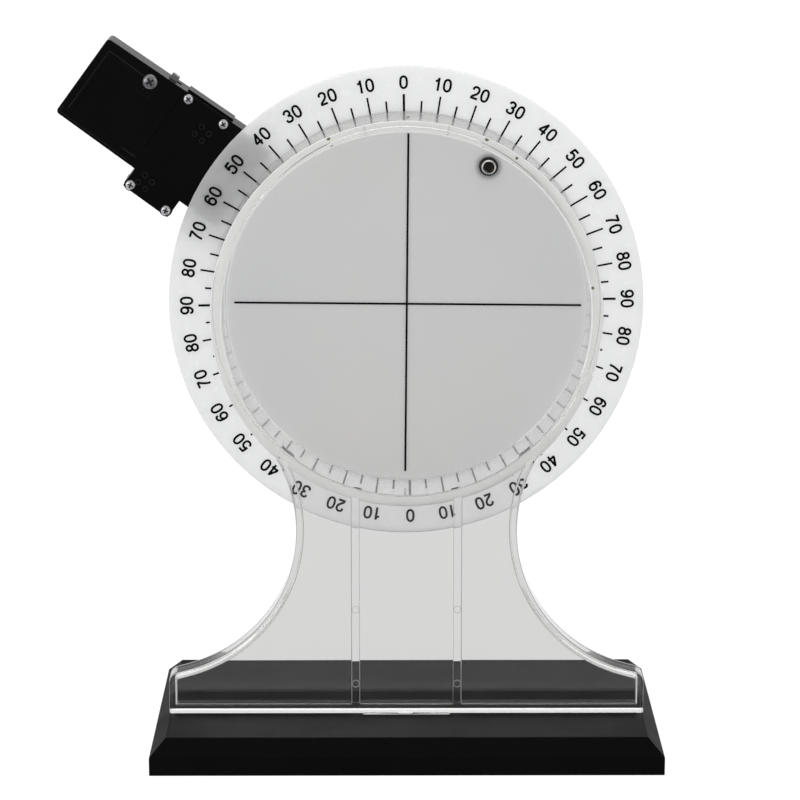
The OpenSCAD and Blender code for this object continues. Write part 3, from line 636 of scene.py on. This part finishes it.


# The milky screen's last number is the depth of the painted shadow round the plug
milky = sheet_plastic("acrylic_milky_sheet", "#dedcd8", "#d7d8da", 0.003, 0.25, 0.55)
screen_round, screen_front, screen_back = 91.1, 6, 8.95
bm = worked(
    disc(screen_round, screen_front, screen_back), ("DIFFERENCE", peg(plug_x, plug_z, plug_hole, 0, 20)),
)
screen = finished("milky_screen", tinted(raised(soften(bm, 0.25)), 0), "stand", "milky_sheet", milky)
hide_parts("screen_disc")
black_ink = ink("ink_black", "#08080a")
line_half, line_front, line_back = 0.5, screen_front - 0.03, screen_front + 0.05
level = block((-87.1, line_front, -line_half), (88.0, line_back, line_half))
upright = block((-line_half, line_front, -87.0), (line_half, line_back, 86.6))
bm = turned_to(worked(level, ("UNION", upright)), 0.5)
bmesh.ops.translate(bm, vec=(0.3, 0, dial_up + 0.1), verts=bm.verts)
finished("screen_hairlines", bm, "stand", "milky_sheet", black_ink)


# Dial. A 240 mm disc of white acrylic with a polished edge, screen-printed in black with a
# stroke every 5 degrees and a number every 10, counted both ways from the top and the bottom.
white_sheet = sheet_plastic("acrylic_white_sheet", "#eae9e7", "#e5e4e3", 0.025, 0.2)
dial_round, dial_front, dial_back = 120, 9, 11.95
bm = worked(
    disc(dial_round, dial_front, dial_back, 360), ("DIFFERENCE", peg(plug_x, plug_z, plug_hole, 0, 20)),
)
dial = finished("dial_disc", tinted(raised(soften(bm, 0.3)), 0), "stand", "white_sheet", white_sheet)
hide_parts("dial_plate")

digit_half_w, digit_high, digit_line, digit_step, digit_ring = 1.64, 5.75, 1.15, 4.95, 111.4
print_proud = 0.02


def digit_mesh(strokes, x):
    """One digit over the top of the dial, its strokes drawn by a flat nib along their centrelines."""
    nib = bpy.data.curves.new("nib", "CURVE")
    line = nib.splines.new("POLY")
    line.points.add(3)
    for point, corner in zip(line.points, ((-1, -1), (1, -1), (1, 1), (-1, 1))):
        point.co = (corner[0] * digit_line / 2, corner[1] * print_proud, 0, 1)
    line.use_cyclic_u = True
    nib_object = bpy.data.objects.new("nib", nib)
    bpy.context.scene.collection.objects.link(nib_object)
    pen = bpy.data.curves.new("pen", "CURVE")
    pen.dimensions = "3D"
    pen.twist_mode = "Z_UP"
    pen.bevel_mode = "OBJECT"
    pen.bevel_object = nib_object
    pen.use_fill_caps = True
    pen.resolution_u = 5
    for closed, smooth, points in strokes:
        spline = pen.splines.new("BEZIER")
        spline.bezier_points.add(len(points) - 1)
        for knot, (px, pz) in zip(spline.bezier_points, points):
            knot.co = (px * digit_half_w, (pz - 0.5) * digit_high, 0)
            knot.handle_left_type = knot.handle_right_type = "AUTO" if smooth else "VECTOR"
        spline.use_cyclic_u = closed
    pen_object = bpy.data.objects.new("pen", pen)
    bpy.context.scene.collection.objects.link(pen_object)
    bpy.context.view_layer.update()
    mesh = bpy.data.meshes.new_from_object(pen_object.evaluated_get(bpy.context.evaluated_depsgraph_get()))
    bm = bmesh.new()
    bm.from_mesh(mesh)
    for data, used in ((pen, pen_object), (nib, nib_object)):
        bpy.data.objects.remove(used)
        bpy.data.curves.remove(data)
    bpy.data.meshes.remove(mesh)
    bmesh.ops.rotate(bm, cent=(0, 0, 0), matrix=Matrix.Rotation(math.radians(90), 3, "X"), verts=bm.verts)
    bmesh.ops.translate(bm, vec=(x, dial_front - 0.01, digit_ring), verts=bm.verts)
    return bm


def straight(*points):
    """A straight stroke of a digit."""
    return False, False, points


def bend(*points, closed=False):
    """A smooth stroke of a digit."""
    return closed, True, points


def oval(up, half_w, half_h):
    """A closed bow of a digit, as eight knots round an upright oval."""
    turns = [math.radians(angle) for angle in range(0, 360, 45)]
    return bend(*[(half_w * math.sin(turn), up + half_h * math.cos(turn)) for turn in turns], closed=True)


# Centrelines of the digits, in half widths across and whole heights up
digits = {
    "0": [bend(
        (0, 1), (0.7, 0.89), (0.97, 0.62), (0.97, 0.38), (0.7, 0.11),
        (0, 0), (-0.7, 0.11), (-0.97, 0.38), (-0.97, 0.62), (-0.7, 0.89), closed=True,
    )],
    "1": [straight((0.3, -0.075), (0.3, 1.075)), bend((0.3, 1.0), (0.05, 0.83), (-0.7, 0.75))],
    "2": [
        bend(
            (-0.93, 0.70), (-0.7, 0.92), (0, 1), (0.72, 0.91), (0.93, 0.70),
            (0.66, 0.48), (0, 0.30), (-0.66, 0.15), (-0.93, -0.02),
        ),
        straight((-1.15, 0), (1.05, 0)),
    ],
    "3": [
        bend((-0.90, 0.76), (-0.62, 0.94), (0, 1), (0.64, 0.93), (0.85, 0.75), (0.6, 0.58), (-0.1, 0.53)),
        bend((-0.1, 0.53), (0.68, 0.47), (0.97, 0.27), (0.7, 0.06), (0, 0), (-0.7, 0.06), (-0.97, 0.26)),
    ],
    "4": [
        straight((0.5, -0.075), (0.5, 1.06)),
        straight((0.55, 1.03), (-0.98, 0.29)),
        straight((-1.2, 0.25), (1.2, 0.25)),
    ],
    "5": [
        straight((-0.75, 1), (0.9, 1)),
        straight((-0.62, 1.05), (-0.86, 0.47)),
        bend(
            (-0.84, 0.50), (-0.5, 0.62), (0.08, 0.65), (0.74, 0.56), (0.98, 0.33),
            (0.74, 0.08), (0, 0), (-0.7, 0.06), (-0.97, 0.24),
        ),
    ],
    "6": [
        bend((0.88, 0.78), (0.6, 0.95), (0.05, 1), (-0.62, 0.89), (-0.95, 0.58), (-0.95, 0.31)),
        oval(0.31, 0.95, 0.31),
    ],
    "7": [straight((-1.0, 1), (1.1, 1)), bend((0.95, 1.0), (0.32, 0.66), (-0.15, 0.30), (-0.38, -0.075))],
    "8": [oval(0.765, 0.80, 0.235), oval(0.265, 0.97, 0.265)],
    "9": [
        bend((-0.88, 0.22), (-0.6, 0.05), (-0.05, 0), (0.62, 0.11), (0.95, 0.42), (0.95, 0.69)),
        oval(0.69, 0.95, 0.31),
    ],
}
parts = []
mark_in, mark_short, mark_long, mark_wide, mark_quarter = 92.5, 102.3, 105.5, 0.93, 1.2
for step in range(72):
    mark_out = mark_long if step % 2 == 0 else mark_short
    half = (mark_quarter if step % 18 == 0 else mark_wide) / 2
    mark = block((-half, dial_front - 0.03, mark_in), (half, dial_front + 0.01, mark_out))
    parts.append(turned_to(mark, step * 5))
for step in range(36):
    count = step * 10 % 180
    number = str(count if count <= 90 else 180 - count)
    for place, digit in enumerate(number):
        x = (place - (len(number) - 1) / 2) * digit_step
        parts.append(turned_to(digit_mesh(digits[digit], x), step * 10))
bm = turned_to(gathered(parts), -0.9)
bmesh.ops.translate(bm, vec=(0.4, 0, dial_up + 0.4), verts=bm.verts)
finished("dial_print", bm, "stand", "white_sheet", black_ink)


# Filler plug. A button-head screw of nickel-plated steel with a hexagon socket, on a black
# rubber washer; it closes the hole through which the tank is filled.
def plated_steel(name, bright, dull, rough):
    """Zinc or nickel plate over steel, or turned brass: even metal with duller spots. The real spots are
    finer than the 1.4 mm that they are drawn."""
    material = bpy.data.materials.new(name)
    tree = blank(material)
    spot, colour = mottle(tree, 1.43, 3.0, bright, dull)[1:]
    haze = add(tree, "ShaderNodeMapRange", {
        "Value": spot, "From Min": 0.35, "From Max": 0.65, "To Min": rough - 0.06, "To Max": rough + 0.08,
    })
    bump = add(tree, "ShaderNodeBump", {"Strength": 0.1, "Distance": 0.00005, "Height": spot})
    shader = add(tree, "ShaderNodeBsdfPrincipled", {
        "Base Color": colour, "Metallic": 1.0, "Roughness": haze.outputs[0], "Normal": bump.outputs[0],
    })
    add(tree, "ShaderNodeOutputMaterial", {"Surface": shader.outputs[0]})
    return material


def rubber(name, colour):
    """Black nitrile or EVA: dull, soft-edged, slightly dusty. Its pores are drawn 0.7 mm across to show."""
    pore_mm = 0.714
    material = bpy.data.materials.new(name)
    tree = blank(material)
    where = add(tree, "ShaderNodeTexCoord").outputs["Object"]
    pores = add(tree, "ShaderNodeTexVoronoi", {"Vector": where, "Scale": 1000 / pore_mm}).outputs["Distance"]
    tone = add(tree, "ShaderNodeMix", {0: pores, 6: linear(colour), 7: linear("#2a2a2b")}, data_type="RGBA")
    bump = add(tree, "ShaderNodeBump", {"Strength": 0.3, "Distance": 0.0001, "Height": pores})
    shader = add(tree, "ShaderNodeBsdfPrincipled", {
        "Base Color": tone.outputs[2], "Roughness": 0.85, "IOR": 1.52, "Specular IOR Level": 0.25,
        "Normal": bump.outputs[0],
    })
    add(tree, "ShaderNodeOutputMaterial", {"Surface": shader.outputs[0]})
    return material


dark_steel = plated_steel("steel_nickel_plated", "#f2f2f2", "#cfcfd0", 0.38)
# A darker steel painted as the shade in the socket and on the head's rim
shaded_steel = plated_steel("steel_painted_shade", "#4a4540", "#2a2724", 0.5)
black_rubber = rubber("rubber_nitrile_black", "#121213")
head_seat_y, shank_end, socket_across, socket_back = 5.0, 19.5, 5.2, 4.0
head = turned([
    (0, 2.3), (2.9, 2.3), (3.6, 2.75), (4.0, 3.3), (4.1, 4.0), (4.1, head_seat_y), (0, head_seat_y),
], steps=64)
bm = worked(
    head, ("UNION", peg(0, 0, 4.9, 4.8, shank_end, 48)),
    ("DIFFERENCE", tinted(peg(0, 0, socket_across, 0, socket_back, 6), 1)),
)
soften(bm, 0.15, 2, 40)
# The socket and the head's outer rim take the darker steel: painted shade
for face in bm.faces:
    middle = face.calc_center_median()
    out = from_axis(middle)
    dark = (out > 3.62 and middle.y < head_seat_y) or (out < 2.4 and middle.y < 4.2)
    face.material_index = 1 if dark else 0
bmesh.ops.translate(bm, vec=(plug_x, 0, dial_up + plug_z), verts=bm.verts)
plug = finished("filler_screw", bm, "filler_plug", "dark_steel", dark_steel, shaded_steel)
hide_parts("filler_plug")
washer_across = 9.4
bm = worked(
    peg(plug_x, plug_z, washer_across, head_seat_y, screen_front - 0.04, 64),
    ("DIFFERENCE", peg(plug_x, plug_z, plug_hole, 4, 8, 48)),
)
washer = finished("plug_washer", tinted(soften(raised(bm), 0.25), 0), "filler_plug", "rubber", black_rubber)
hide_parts("filler_washer")


# Water tank. A shallow drum of clear acrylic cemented to the back of the dial, its rear
# window cemented on in turn, so that the beam can be followed from air into water.
tank_acrylic = clear_acrylic("acrylic_clear_tank", "#f2f4f3", 0.03)
tank_front, tank_back, water_round, water_front, water_back = 12.05, 41, 93.3, 14.5, 38
boss = peg(plug_x, plug_z, 12, 13, shank_end, 48)
water = worked(disc(water_round, water_front, water_back), ("DIFFERENCE", boss))
bm = worked(
    disc(ring_out, tank_front, tank_back), ("DIFFERENCE", water),
    ("DIFFERENCE", peg(plug_x, plug_z, plug_hole, 11, 20, 48)),
)
# The tank's rounded edges take the painted edge light
tank = finished("water_tank", soften(raised(bm), 0.4), "stand", "clear_acrylic", tank_acrylic, painted_edge_lines)
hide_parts("tank_shell", "rear_window")


# Hub, arm and clamp. A black turned hub is cemented to the rear window; the arm swings on its
# journal over a nylon washer and carries the laser, and a lobed knob on a stud clamps it.
def eased(node, name, body, slot, material, radius, segments=2, steps=()):
    """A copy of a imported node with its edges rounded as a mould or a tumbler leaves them."""
    bm = bmesh.new()
    bm.from_mesh(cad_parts[node].data)
    bmesh.ops.scale(bm, vec=(1000, 1000, 1000), verts=bm.verts)
    bmesh.ops.remove_doubles(bm, verts=bm.verts, dist=0.002)
    bmesh.ops.dissolve_limit(bm, angle_limit=math.radians(0.5), verts=bm.verts, edges=bm.edges)
    soften(bm, radius, segments)
    for step in steps:
        bm = worked(bm, step)
    for face in bm.faces:
        face.material_index = 1 if face.material_index == 2 else 0
    piece = finished(name, bm, body, slot, material, *([groove_highlight_abs] if steps else []))
    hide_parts(node)
    return piece


case_abs = moulded_abs("abs_black_spark_finish", "#060607", "#0a0a0b", 0.35, 0.07, 0.36)
# Lighter ABS on the faces of the sunk lines and ejector rings: a painted highlight of their edges
groove_highlight_abs = moulded_abs("abs_painted_groove_highlight", "#262628", "#343436", 0.35, 0.15, 0.4)
knob_abs = moulded_abs("abs_black_knob", "#0d0d0e", "#121213", 0.5, 0.3, 0.42)
eased("pivot_hub", "hub", "stand", "black_abs", knob_abs, 0.5)
eased("swing_arm", "laser_arm", "laser_carriage", "black_abs", knob_abs, 0.5)
eased("clamp_knob", "lobed_knob", "clamp_knob", "black_abs", knob_abs, 0.8, 3)
zinc = plated_steel("steel_zinc_plated", "#fafafb", "#dcdde0", 0.42)
eased("clamp_washer", "steel_washer", "clamp_knob", "bright_steel", zinc, 0.2)
eased("knob_stud", "stud", "clamp_knob", "bright_steel", zinc, 0.2)
eased("arm_screws", "arm_screw_heads", "laser_carriage", "bright_steel", zinc, 0.12)


# Laser case. Two covers and a back moulded in black ABS with a spark-eroded finish, held by
# self-tapping screws with cross recesses. The door of the battery bay has sunk lines in its face,
# and these lines and the ejector rings are painted lighter as highlights.
# It is drawn with the beam pointing up: v across the beam, a along it from the dial's centre.
rest_angle, case_front = -53.5, 13.2


def along_beam(bm):
    """Brings what is drawn with the beam pointing up to the carriage's place at rest."""
    return raised(turned_to(bm, rest_angle))


def groove(v0, a0, v1, a1, depth):
    """A cutter for a straight sunk line in the front of the case, between two corners, its faces painted
    lighter as a highlight.
    """
    sunk_line = block((v0, case_front - 1, a0), (v1, case_front + depth, a1))
    return ("DIFFERENCE", along_beam(tinted(sunk_line, 2)))


def pin_marks(v, a):
    """Cutters for four round ejector marks about a point of the case's front, their faces painted lighter as
    highlights.
    """
    spread, across, line = 3.5, 2.9, 0.4
    cutters = []
    for turn in range(4):
        around = math.radians(90 * turn + rest_angle)
        x, z = v + spread * math.cos(around), a + spread * math.sin(around)
        middle = peg(x, z, across - 2 * line, 11, 14, 24)
        rim = worked(peg(x, z, across, 12, case_front + 0.3, 24), ("DIFFERENCE", middle))
        cutters.append(("DIFFERENCE", along_beam(tinted(rim, 2))))
    return cutters


far, upper = 198.4, 19.0
sunk = [groove(*row) for row in (
    # Step inside the rim at the far end and at the upper side
    (-21.5, far - 4.3, upper - 4.6, far - 3.8, 0.35),
    (upper - 5.0, 172, upper - 4.5, far - 3.8, 0.35),
    # Fine lines at the lower side, and a short one at the near end
    (-25.3, far - 1.6, -21.5, far - 1.2, 0.2),
    (-25.2, 156, -24.9, far - 1.6, 0.2),
    (-21.9, 152.6, -21.4, 161.5, 0.3),
    # A small frame with two dots beside the screw
    (6.2, 165.2, 6.4, 172.0, 0.27),
    (10.6, 165.2, 10.8, 172.0, 0.27),
    (6.2, 165.2, 10.8, 165.4, 0.24),
    (6.2, 171.8, 10.8, 172.0, 0.24),
    (8.0, 166.6, 8.8, 167.4, 0.5),
    (8.0, 169.6, 8.8, 170.4, 0.5),
)]
pins = pin_marks(7.8, 133.1) + pin_marks(-29, 141.9)
eased("case_rear", "case_back", "laser_carriage", "case_abs", case_abs, 0.45)
eased("case_cover", "case_front", "laser_carriage", "case_abs", case_abs, 0.25, steps=pins)
eased("battery_cover", "case_door", "laser_carriage", "case_abs", case_abs, 0.25, steps=sunk)
grey_abs = moulded_abs("abs_grey_nub", "#6d6d70", "#7a7a7d", 0.5, 0.4, 0.4)
eased("switch_slider", "switch_button", "switch", "switch_grey", grey_abs, 0.3)
seat_y, shank_across, screw_tip = 14.2, 2.1, 23.1


def pan_head(v, a, across, high):
    """A self-tapping screw with a domed head and a cross recess, its inner faces given the second
    material. Each is driven home at another angle."""
    top_y = seat_y - high
    arm, half = across * 0.29, across * 0.075
    head = turned([
        (0, top_y), (across * 0.3, top_y + 0.12), (across * 0.42, top_y + 0.4),
        (across * 0.5, top_y + 1.0), (across * 0.5, seat_y), (0, seat_y),
    ], steps=48)
    cross = worked(
        block((-arm, top_y - 1, -half), (arm, top_y + 1.1, half)),
        ("UNION", block((-half, top_y - 1, -arm), (half, top_y + 1.1, arm))),
        ("UNION", peg(0, 0, across * 0.26, top_y - 1, top_y + 1.3, 16)),
    )
    shank = peg(0, 0, shank_across, 14, screw_tip, 16)
    bm = turned_to(worked(head, ("DIFFERENCE", tinted(cross, 1)), ("UNION", shank)), 20 + 40 * v)
    bmesh.ops.translate(bm, vec=(v, 0, a), verts=bm.verts)
    return along_beam(bm)


# The cross recesses take darker zinc: painted shade
zinc_shadow = plated_steel("steel_zinc_recess_painted_shade", "#5c5c5e", "#3c3c3e", 0.45)
case_holes = ((17.9, 148.6), (18.1, 127.2), (-34.6, 146.9), (-34.6, 125.1))
heads = gathered([pan_head(v, a, 5, 1.9) for v, a in case_holes])
screws = finished("case_screw_heads", heads, "laser_carriage", "bright_steel", zinc, zinc_shadow)
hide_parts("case_screws")
dull_nickel = plated_steel("steel_nickel_dull", "#a8a8aa", "#828284", 0.42)
head = pan_head(13.7, 169.1, 7.3, 2.4)
door_screw = finished("door_screw_head", head, "laser_carriage", "dark_steel", dull_nickel, zinc_shadow)
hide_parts("battery_cover_screw")


# Inner and lower parts. What the case and the base hide: foam mat, cover, screws, batteries
# with their contacts, circuit board, laser module and leads.
def enamelled(name, first, second, rough, patch_mm):
    """A small bought-in part: even lacquer, film or moulding with a slight mottle."""
    material = bpy.data.materials.new(name)
    tree = blank(material)
    patches, tone = mottle(tree, patch_mm, 3.0, first, second)[1:]
    bump = add(tree, "ShaderNodeBump", {"Strength": 0.1, "Distance": 0.0001, "Height": patches})
    shader = add(tree, "ShaderNodeBsdfPrincipled", {
        "Base Color": tone, "Roughness": rough, "Normal": bump.outputs[0],
    })
    add(tree, "ShaderNodeOutputMaterial", {"Surface": shader.outputs[0]})
    return material


brass = plated_steel("brass_turned", "#c9a45c", "#a9854a", 0.3)
red_filter = clear_acrylic("acrylic_red_filter", "#c8404a", 0.02)
lens_glass = clear_acrylic("glass_lens", "#e8f0f4", 0.0)
for names, material in (
    (("base_cover",), base_abs),
    (("base_mat",), rubber("foam_eva_black", "#0f0f10")),
    (("base_cover_screws", "leg_screws", "board_screws", "battery_contacts"), zinc),
    (("hub_washer",), enamelled("nylon_natural", "#e6e3da", "#dcd8cc", 0.45, 3.33)),
    (("laser_module",), brass),
    (("laser_lens",), lens_glass),
    (("exit_window",), red_filter),
    (("module_holder", "switch_body"), moulded_abs("abs_dark_grey", "#232325", "#2b2b2d", 0.5, 0.4, 0.45)),
    (("circuit_board",), enamelled("fr4_green_mask", "#23603a", "#1d5231", 0.35, 1.11)),
    (("batteries",), enamelled("pvc_cell_wrap", "#3a5674", "#2f4862", 0.4, 5)),
    (("lead_wires",), enamelled("pvc_red_insulation", "#a83a2c", "#8f3024", 0.5, 1.11)),
):
    for node in names:
        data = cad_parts[node].data
        data.materials.clear()
        data.materials.append(material)

size = {"cad": [list(corner) for corner in cad_box], "visual": [list(corner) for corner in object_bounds()]}
